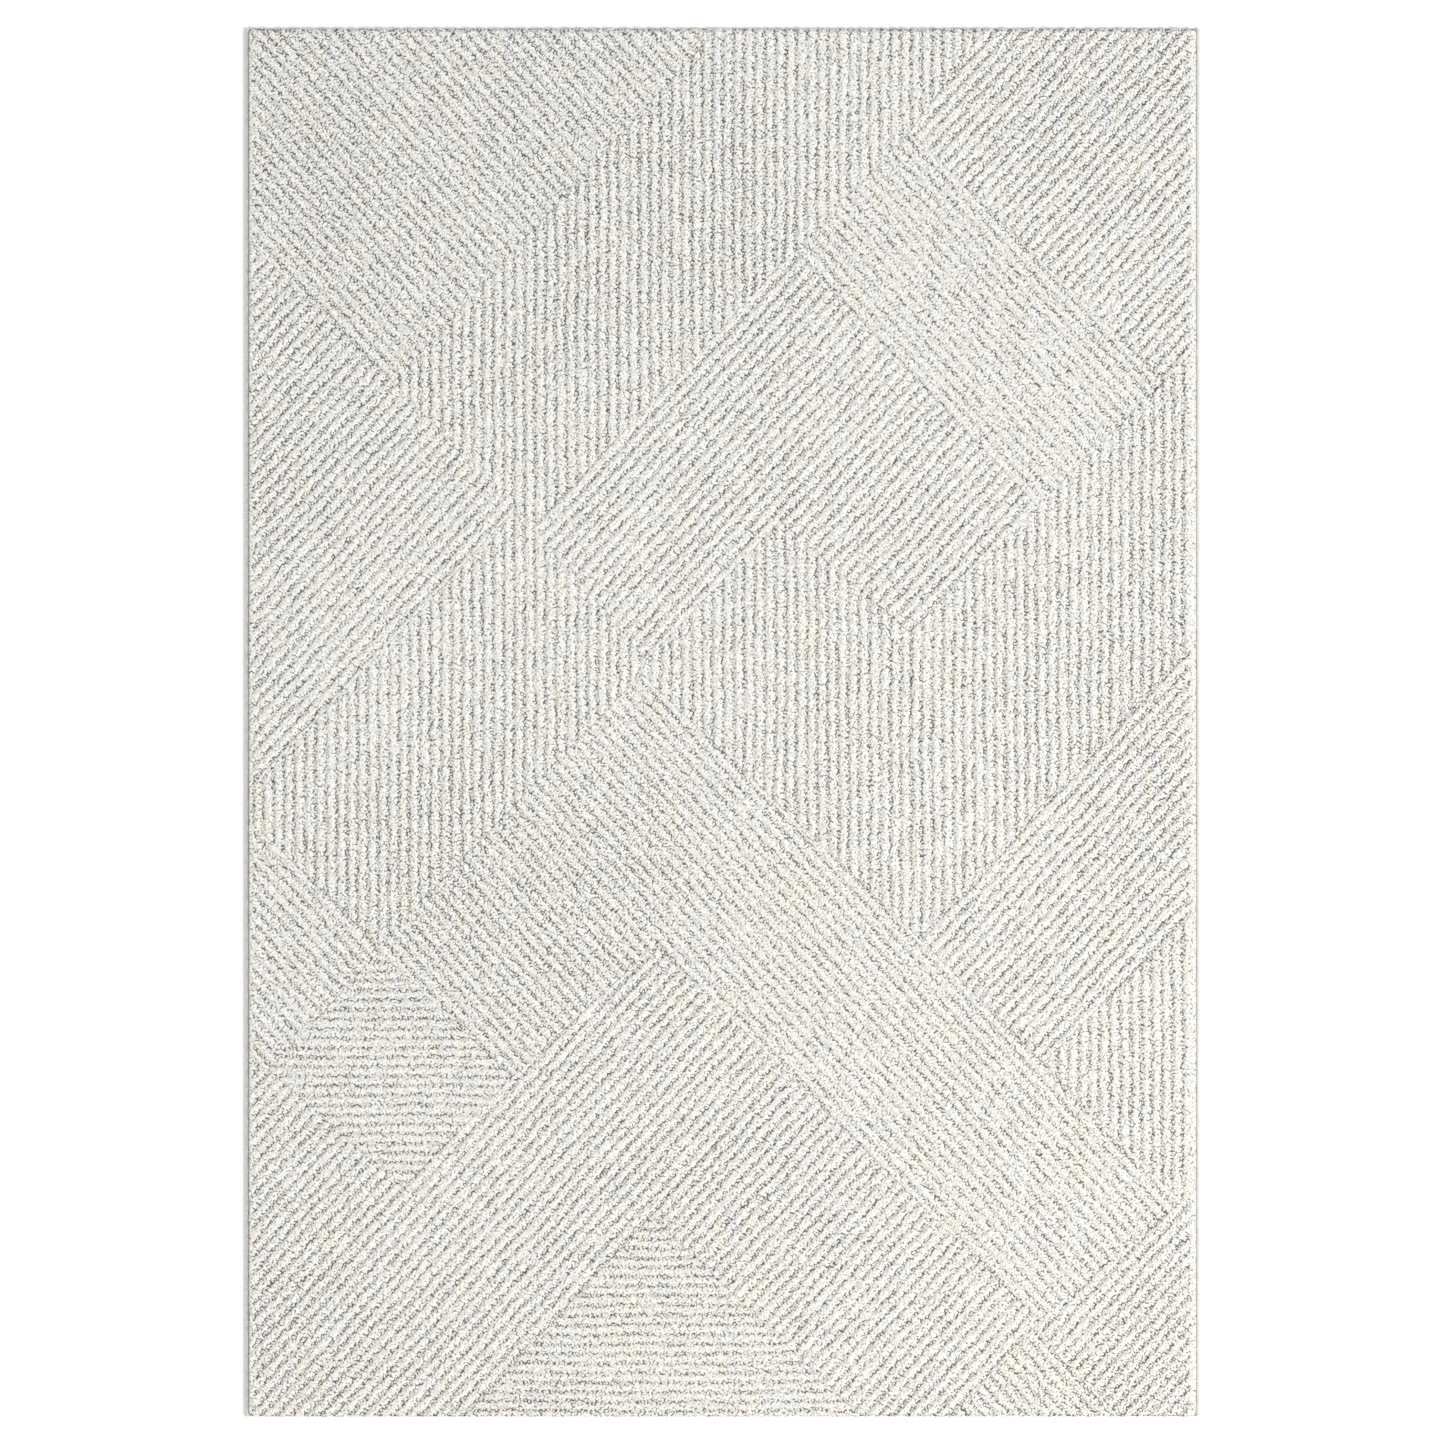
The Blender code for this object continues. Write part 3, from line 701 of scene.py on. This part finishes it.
class Nodes:
    """A material's node tree, built a node at a time."""

    def __init__(self, name, roughness, sheen=0.0):
        self.material = bpy.data.materials.new(name)
        self.material.use_nodes = True
        self.tree = self.material.node_tree
        self.shader = self.tree.nodes["Principled BSDF"]
        self.shader.inputs["Roughness"].default_value = roughness
        self.shader.inputs["Specular IOR Level"].default_value = SPECULAR
        self.shader.inputs["Sheen Weight"].default_value = sheen
        self.shader.inputs["Sheen Roughness"].default_value = SHEEN_ROUGHNESS
        self.place = self.tree.nodes.new("ShaderNodeTexCoord").outputs["Object"]

    def link(self, source, target):
        self.tree.links.new(source, target)

    def value(self, name):
        node = self.tree.nodes.new("ShaderNodeAttribute")
        node.attribute_name = name
        return node.outputs["Fac"]

    def stretched(self, scale, turned=(0, 0, 0)):
        node = self.tree.nodes.new("ShaderNodeMapping")
        node.inputs["Scale"].default_value = scale
        node.inputs["Rotation"].default_value = turned
        self.link(self.place, node.inputs["Vector"])
        return node.outputs["Vector"]

    def noise(self, scale, detail=2.0, place=None):
        node = self.tree.nodes.new("ShaderNodeTexNoise")
        node.inputs["Scale"].default_value = scale
        node.inputs["Detail"].default_value = detail
        self.link(place or self.place, node.inputs["Vector"])
        return node.outputs["Fac"]

    def cells(self, size, turned):
        """Cells of about this size: three random shares for each, and how far, in cells, each point is from
        its middle."""
        node = self.tree.nodes.new("ShaderNodeTexVoronoi")
        node.voronoi_dimensions = "2D"
        node.inputs["Scale"].default_value = 1.0
        node.inputs["Randomness"].default_value = CELL_RANDOMNESS
        self.link(self.stretched(tuple(1 / side for side in size), (0, 0, turned)), node.inputs["Vector"])
        parts = self.tree.nodes.new("ShaderNodeSeparateColor")
        self.link(node.outputs["Color"], parts.inputs["Color"])
        return [parts.outputs[name] for name in ("Red", "Green", "Blue")], node.outputs["Distance"]

    def waves(self, scale, way, distortion=0.0):
        node = self.tree.nodes.new("ShaderNodeTexWave")
        node.bands_direction = way
        node.inputs["Scale"].default_value = scale
        node.inputs["Distortion"].default_value = distortion
        node.inputs["Detail"].default_value = 1.0
        self.link(self.place, node.inputs["Vector"])
        return node.outputs["Fac"]

    def math(self, operation, first, second):
        node = self.tree.nodes.new("ShaderNodeMath")
        node.operation = operation
        for socket, given in zip(node.inputs, (first, second)):
            if isinstance(given, (int, float)):
                socket.default_value = given
            else:
                self.link(given, socket)
        return node.outputs["Value"]

    def spread(self, value, low, high, to_low, to_high):
        node = self.tree.nodes.new("ShaderNodeMapRange")
        self.link(value, node.inputs["Value"])
        for name, given in (("From Min", low), ("From Max", high), ("To Min", to_low), ("To Max", to_high)):
            node.inputs[name].default_value = given
        return node.outputs["Result"]

    def mix(self, share, first, second, how="MIX"):
        node = self.tree.nodes.new("ShaderNodeMix")
        node.data_type = "RGBA"
        node.blend_type = how
        for name, given in (("Factor", share), ("A", first), ("B", second)):
            socket = next(s for s in node.inputs if s.name == name and s.enabled)
            if isinstance(given, (int, float)):
                socket.default_value = given
            elif isinstance(given, tuple):
                socket.default_value = (*given, 1.0)
            else:
                self.link(given, socket)
        return next(s for s in node.outputs if s.enabled)

    def bump(self, height, distance, strength=1.0, under=None):
        node = self.tree.nodes.new("ShaderNodeBump")
        node.inputs["Distance"].default_value = distance
        node.inputs["Strength"].default_value = strength
        self.link(height, node.inputs["Height"])
        if under is not None:
            self.link(under, node.inputs["Normal"])
        return node.outputs["Normal"]

    def finish(self, colour, normal, roughness=None):
        self.link(colour, self.shader.inputs["Base Color"])
        self.link(normal, self.shader.inputs["Normal"])
        if roughness is not None:
            self.link(roughness, self.shader.inputs["Roughness"])
        return self.material


IVORY = (0.860, 0.847, 0.805)
IVORY_WARM = (0.890, 0.842, 0.745)
IVORY_COOL = (0.832, 0.842, 0.838)
GREY_COOL = (0.085, 0.092, 0.096)
GREY_WARM = (0.140, 0.112, 0.078)
# The low pile's colour: partly its own greyer yarn, partly painted shade in the grooves
LOW_PILE_WITH_SHADE = (0.780, 0.765, 0.725)
TUFT_SIZE = (0.0038, 0.0039, 0.0060)  # of one tuft's tip
GAP_DICE = 0.20  # how unevenly the grey between tips shows, in tips
RIB_GAP, GROOVE_GAP = 0.81, 0.545  # how far from a tip's middle the grey starts, on ribs and in grooves
GAP_SOFT = 0.07
GREY_BLEND = 0.36
TUFT_LEAN = 0.5  # radians that the yarn ends are turned
# The serging's and the cord's darker colours are painted shade, for the valleys between their turns and plies
SERGING_PALE, SERGING_VALLEY_SHADE = (0.70, 0.69, 0.66), (0.42, 0.42, 0.40)
CORD_PALE, CORD_VALLEY_SHADE = (0.66, 0.60, 0.48), (0.34, 0.28, 0.20)
SERGING_FIBRES, CORD_FIBRES = 900.0, 1200.0  # scale of the noise that draws them
JUTE_DARK, JUTE_PALE, JUTE_SHADOW = (0.43, 0.33, 0.21), (0.62, 0.52, 0.37), (0.24, 0.18, 0.11)
LATEX_DULL, LATEX_PALE = (0.74, 0.70, 0.60), (0.80, 0.77, 0.68)
LATEX_OVER_JUTE, LATEX_PIT = (0.52, 0.43, 0.30), (0.42, 0.36, 0.27)
SATIN_CREASE_SHADE, SATIN_PALE, SATIN_SHADOW = (0.80, 0.79, 0.75), (0.87, 0.87, 0.85), (0.66, 0.66, 0.64)
SATIN_THREAD = 0.0006  # spacing of the label's warp
SEAM_PLY = 0.0005  # and of the sewing thread's plies
# The sewing thread's duller colour is painted shade between its plies
THREAD_PLY_SHADE, THREAD_PALE = (0.55, 0.53, 0.48), (0.74, 0.72, 0.67)
FLOOR_DULL, FLOOR_PALE = (0.905, 0.905, 0.905), (0.925, 0.925, 0.925)


def pile_yarn():
    """Ivory yarn flecked with grey. The flecks lie thickest in the low pile, and each length of yarn leans a
    little to warm or cool. Painted into it are shade in the grooves and between tuft tips, light on taller
    yarn ends and the warm key lamp's tint."""
    n = Nodes("pile_yarn_ribbed", 0.95, sheen=0.15)
    warm = n.spread(n.value("warm"), -1.8, 1.8, 0.0, 1.0)
    ivory = n.mix(warm, IVORY_COOL, IVORY_WARM)
    ivory = n.mix(0.3, ivory, IVORY)
    # Partly the low pile's greyer yarn, partly painted shade: the grooves are painted darker than the ribs'
    # ivory
    body = n.mix(n.spread(n.value("rib"), 0.0, 1.0, 0.75, 0.0), ivory, LOW_PILE_WITH_SHADE)
    grey = n.mix(warm, GREY_COOL, GREY_WARM)
    fibre = n.noise(700.0, 3.0)
    dice, gap = n.cells(TUFT_SIZE, TUFT_LEAN)
    depth = n.math("ADD", gap, n.math("MULTIPLY", dice[0], GAP_DICE))
    shown = n.spread(n.value("fleck"), 0.0, 1.0, RIB_GAP, GROOVE_GAP)
    is_grey = n.spread(n.math("SUBTRACT", depth, shown), -GAP_SOFT, GAP_SOFT, 0.0, 1.0)
    grey = n.mix(n.math("MULTIPLY", dice[1], GREY_BLEND), grey, body)
    colour = n.mix(is_grey, body, grey)
    shade = n.math("MULTIPLY", n.spread(fibre, 0.32, 0.66, 0.92, 1.04),
                   n.spread(dice[2], 0.0, 1.0, 0.86, 1.08))
    # Painted shade: each tuft tip is darkened towards its edge, in the gaps between tufts
    shade = n.math("MULTIPLY", shade, n.spread(gap, 0.15, 0.70, 1.05, 0.75))
    # Painted light: taller yarn ends are painted lighter and shorter ones darker
    lit = n.spread(n.value("tip"), -2.2, 1.6, 0.84, 1.05)
    colour = n.mix(1.0, colour, n.math("MULTIPLY", shade, lit), "MULTIPLY")
    normal = n.bump(n.math("SUBTRACT", n.math("MULTIPLY", fibre, 0.3), gap), 0.0008, 0.9)
    roughness = n.spread(fibre, 0.3, 0.7, 0.86, 1.0)
    return n.finish(colour, normal, roughness)


def wrapped_yarn(name, pale, dark, fibre_scale):
    """Twisted yarn: pale on its crests, with painted shade in the valleys between turns, and fine slanting
    fibres.
    """
    n = Nodes(name, 0.9, sheen=0.12)
    tone = n.spread(n.value("tone"), -2.0, 2.0, 0.0, 1.0)
    body = n.mix(tone, pale, tuple(0.88 * part for part in pale))
    fibre = n.noise(1.0, 2.0, n.stretched((fibre_scale, fibre_scale * 0.45, fibre_scale), (0.0, 0.0, 0.5)))
    # Painted shade: the valleys between turns take the darker colour
    valley = n.spread(n.value("crest"), 0.15, 0.75, 1.0, 0.0)
    colour = n.mix(n.math("MULTIPLY", valley, n.spread(fibre, 0.2, 0.8, 0.7, 1.0)), body, dark)
    colour = n.mix(1.0, colour, n.spread(fibre, 0.25, 0.75, 0.86, 1.05), "MULTIPLY")
    return n.finish(colour, n.bump(fibre, 0.0003, 0.9), n.spread(fibre, 0.3, 0.7, 0.8, 1.0))


def jute_weave(name, thread):
    """Plain weave of tan jute, with slubs in its threads."""
    n = Nodes(name, 0.92, sheen=0.05)
    scale = wave_scale(thread)
    warp, weft = n.waves(scale, "X", 0.6), n.waves(scale, "Y", 0.6)
    crossing = n.math("ABSOLUTE", n.math("SUBTRACT", warp, weft), 0.0)
    slub = n.noise(1.0, 3.0, n.stretched((60.0, 420.0, 60.0)))
    slub = n.math("MULTIPLY", slub, n.spread(n.noise(240.0, 3.0), 0.3, 0.7, 0.8, 1.1))
    body = n.mix(slub, JUTE_DARK, JUTE_PALE)
    colour = n.mix(n.spread(crossing, 0.0, 0.6, 0.45, 0.0), body, JUTE_SHADOW)
    height = n.math("ADD", crossing, n.math("MULTIPLY", slub, 0.3))
    return n.finish(colour, n.bump(height, 0.0004, 0.8), n.spread(slub, 0.2, 0.8, 0.85, 1.0))


def latex():
    """Cream latex with the jute's grid just showing through, and pin holes and thin places in it."""
    n = Nodes("latex_coat_cream", 0.6)
    scale = wave_scale(THREAD_SPACING)
    warp, weft = n.waves(scale, "X", 1.6), n.waves(scale, "Y", 1.6)
    grid = n.math("ABSOLUTE", n.math("SUBTRACT", warp, weft), 0.0)
    thin = n.noise(14.0, 4.0)
    pits = n.noise(520.0, 2.0)
    cream = n.mix(thin, LATEX_DULL, LATEX_PALE)
    shows = n.math("MULTIPLY", n.spread(grid, 0.1, 0.9, 0.0, 1.0), n.spread(thin, 0.35, 0.65, 0.42, 0.08))
    colour = n.mix(shows, cream, LATEX_OVER_JUTE)
    colour = n.mix(n.spread(pits, 0.66, 0.74, 0.0, 0.6), colour, LATEX_PIT)
    height = n.math("ADD", grid, n.math("MULTIPLY", pits, 0.4))
    return n.finish(colour, n.bump(height, 0.0005, 0.7), n.spread(thin, 0.3, 0.7, 0.5, 0.75))


def label_satin():
    """White satin with a fine warp and creases, with painted shade in the creases' hollows, duller and
    yellower there.
    """
    n = Nodes("label_cloth_satin", 0.55, sheen=0.1)
    warp = n.waves(wave_scale(SATIN_THREAD), "X", 0.3)
    crease = n.noise(70.0, 3.0)
    # Painted shade: the creases' hollows are painted duller and yellower
    colour = n.mix(crease, SATIN_CREASE_SHADE, SATIN_PALE)
    colour = n.mix(n.spread(warp, 0.0, 1.0, 0.12, 0.0), colour, SATIN_SHADOW)
    height = n.math("ADD", n.math("MULTIPLY", warp, 0.4), crease)
    return n.finish(colour, n.bump(height, 0.00015, 0.6), n.spread(crease, 0.3, 0.7, 0.45, 0.65))


def seam_thread():
    n = Nodes("label_seam_thread", 0.7)
    ply = n.waves(wave_scale(SEAM_PLY), "DIAGONAL", 0.4)
    # Painted shade: the thread is painted duller in the grooves between its plies
    colour = n.mix(ply, THREAD_PLY_SHADE, THREAD_PALE)
    return n.finish(colour, n.bump(ply, 0.0001, 0.6), n.spread(ply, 0.0, 1.0, 0.6, 0.8))


def floor_paint():
    n = Nodes("floor_paint", 0.9)
    mottle = n.noise(1.5, 3.0)
    colour = n.mix(mottle, FLOOR_DULL, FLOOR_PALE)
    return n.finish(colour, n.bump(n.noise(60.0), 0.0002, 0.3))


# ---------------------------------------------------------------- the rug

def finished(pieces, material):
    for piece in pieces:
        piece.data.materials.append(material)
    return pieces


tufts = finished([pile_field(field) for field in FIELDS], pile_yarn())
finished([serging(side, f"serging_{side}") for side in ("left", "right")],
         wrapped_yarn("serging_yarn_wraps", SERGING_PALE, SERGING_VALLEY_SHADE, SERGING_FIBRES))
finished([cord(side, f"cord_{side}") for side in ("left", "right")],
         wrapped_yarn("cord_yarn_plies", CORD_PALE, CORD_VALLEY_SHADE, CORD_FIBRES))
hems = finished([hem(end, f"hem_{end}") for end in ("head", "foot")],
                jute_weave("ground_yarn_hem", HEM_THREAD))
ground = finished([ground_weave()], jute_weave("ground_yarn_weave", THREAD_SPACING))[0]
coat, coat_area = latex_coat()
finished([coat], latex())
label = finished([care_label()], label_satin())[0]
stitches = finished([label_seam()], seam_thread())[0]

# ---------------------------------------------------------------- studio

FLOOR_SIZE = 40.0
FLOOR_DROP = 0.0002  # below the rug, so that the two faces don't coincide
floor_mesh = bpy.data.meshes.new("studio_floor")
reach = FLOOR_SIZE / 2
floor_mesh.from_pydata([(-reach, -reach, 0), (reach, -reach, 0), (reach, reach, 0), (-reach, reach, 0)], [],
                       [(0, 1, 2, 3)])
floor_mesh.materials.append(floor_paint())
floor = bpy.data.objects.new("studio_floor", floor_mesh)
floor.location.z = -FLOOR_DROP
bpy.context.scene.collection.objects.link(floor)

KEY_AZIMUTH = math.radians(-25)
KEY_ELEVATION = math.radians(48)
KEY_DISTANCE = 9.0
KEY_SIZE = 2.2
KEY_POWER = 480.0
KEY_COLOUR = (1.0, 0.985, 0.960)
FILL_COLOUR = (0.985, 0.992, 1.0)
FILL_STRENGTH = 0.85
key_lamp = bpy.data.lights.new("key", "AREA")
key_lamp.shape = "DISK"
key_lamp.size = KEY_SIZE
key_lamp.energy = KEY_POWER
key_lamp.color = KEY_COLOUR
key = bpy.data.objects.new("key", key_lamp)
key.location = KEY_DISTANCE * Vector((math.cos(KEY_AZIMUTH) * math.cos(KEY_ELEVATION),
                                      math.sin(KEY_AZIMUTH) * math.cos(KEY_ELEVATION),
                                      math.sin(KEY_ELEVATION)))
key.rotation_euler = key.location.to_track_quat("Z", "Y").to_euler()
bpy.context.scene.collection.objects.link(key)

world = bpy.data.worlds.new("studio_fill")
world.use_nodes = True
fill = world.node_tree.nodes["Background"]
fill.inputs["Color"].default_value = (*FILL_COLOUR, 1.0)
fill.inputs["Strength"].default_value = FILL_STRENGTH
bpy.context.scene.world = world
bpy.context.scene.view_settings.view_transform = "Standard"

# Straight above the middle of the rug, as far off as a long lens needs
VIEW_SIDE = 2.418
LENS = 100.0
SENSOR = 36.0
camera_data = bpy.data.cameras.new("camera")
camera_data.lens = LENS
camera_data.sensor_width = SENSOR
camera = bpy.data.objects.new("camera", camera_data)
camera.location = (0, 0, cad_box[1][2] + VIEW_SIDE * LENS / SENSOR)
bpy.context.scene.collection.objects.link(camera)
bpy.context.scene.camera = camera
